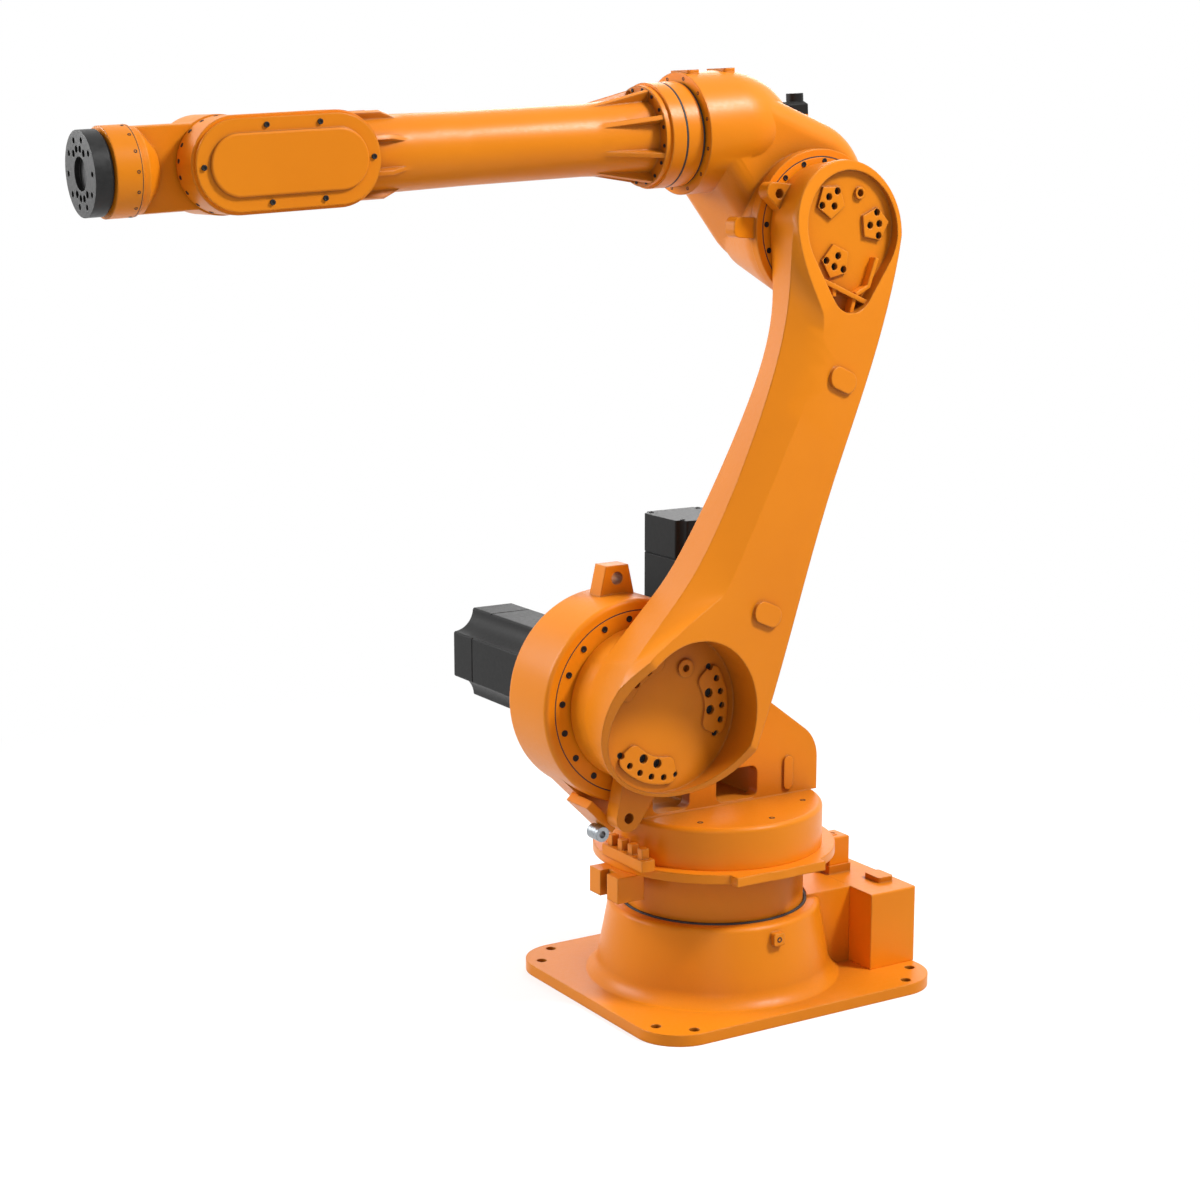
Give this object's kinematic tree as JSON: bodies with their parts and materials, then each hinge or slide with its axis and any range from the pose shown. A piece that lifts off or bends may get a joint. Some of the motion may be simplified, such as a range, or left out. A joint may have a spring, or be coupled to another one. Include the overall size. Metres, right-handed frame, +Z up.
{
  "type": "industrial robot arm",
  "caption": "Floor-standing articulated industrial robot arm: bolted foot, turning turret, leaning lower arm, offset elbow, finned forearm and a rolling wrist with a tool flange.",
  "frame": {"origin": "on the floor, where the waist axis meets the underside of the foot", "axes": "+Z up along the waist axis, +X the way the arm reaches at rest, +Y to the side that carries the lower arm"},
  "size_m": [1.4532, 0.6874, 1.5991],
  "materials": {
    "paint": "satin",
    "motor": "matte",
    "flange": "satin",
    "steel": "satin"
  },
  "bodies": {
    "base": {"base_casting": "paint", "connector_box": "paint", "waist_stop_block": "paint"},
    "turret": {"turning_disc": "paint", "waist_stop_lug": "paint", "turret_column": "paint", "shoulder_gear": "paint", "shoulder_motor": "motor", "waist_motor_adapter": "paint", "waist_motor": "motor", "shoulder_stop_bracket": "paint", "shoulder_stop_bush": "steel", "cable_cleats": "paint"},
    "lower_arm": {"lower_arm_casting": "paint"},
    "elbow": {"elbow_housing": "paint", "elbow_gear": "paint", "elbow_motor": "motor", "elbow_plug": "motor"},
    "forearm": {"forearm_collar": "paint", "forearm_casting": "paint", "wrist_cover": "paint"},
    "wrist": {"wrist_body": "paint", "wrist_collar": "paint"},
    "flange": {"tool_flange": "flange"}
  },
  "joints": [
    {"name": "waist_turn", "type": "hinge", "parent": "base", "child": "turret", "pos_m": [0, 0, 0.2], "axis": [0, 0, 1], "range_deg": [-155, 155]},
    {"name": "shoulder_lean", "type": "hinge", "parent": "turret", "child": "lower_arm", "pos_m": [0.22, 0, 0.556], "axis": [0, 1, 0], "range_deg": [-36.7, 103.3]},
    {"name": "elbow_lift", "type": "hinge", "parent": "lower_arm", "child": "elbow", "pos_m": [-0.11621, 0, 1.33668], "axis": [0, -1, 0], "range_deg": [-48.4, 116.5]},
    {"name": "forearm_roll", "type": "hinge", "parent": "elbow", "child": "forearm", "pos_m": [-0.10686, 0, 1.50141], "axis": [0.9984, 0, -0.0567], "range_deg": [-180, 180]},
    {"name": "wrist_bend", "type": "hinge", "parent": "forearm", "child": "wrist", "pos_m": [0.90651, 0, 1.44387], "axis": [0, -1, 0], "range_deg": [-115, 115]},
    {"name": "flange_turn", "type": "hinge", "parent": "wrist", "child": "flange", "pos_m": [0.90651, 0, 1.44387], "axis": [0.9984, 0, -0.0567], "range_deg": [-360, 360]}
  ]
}
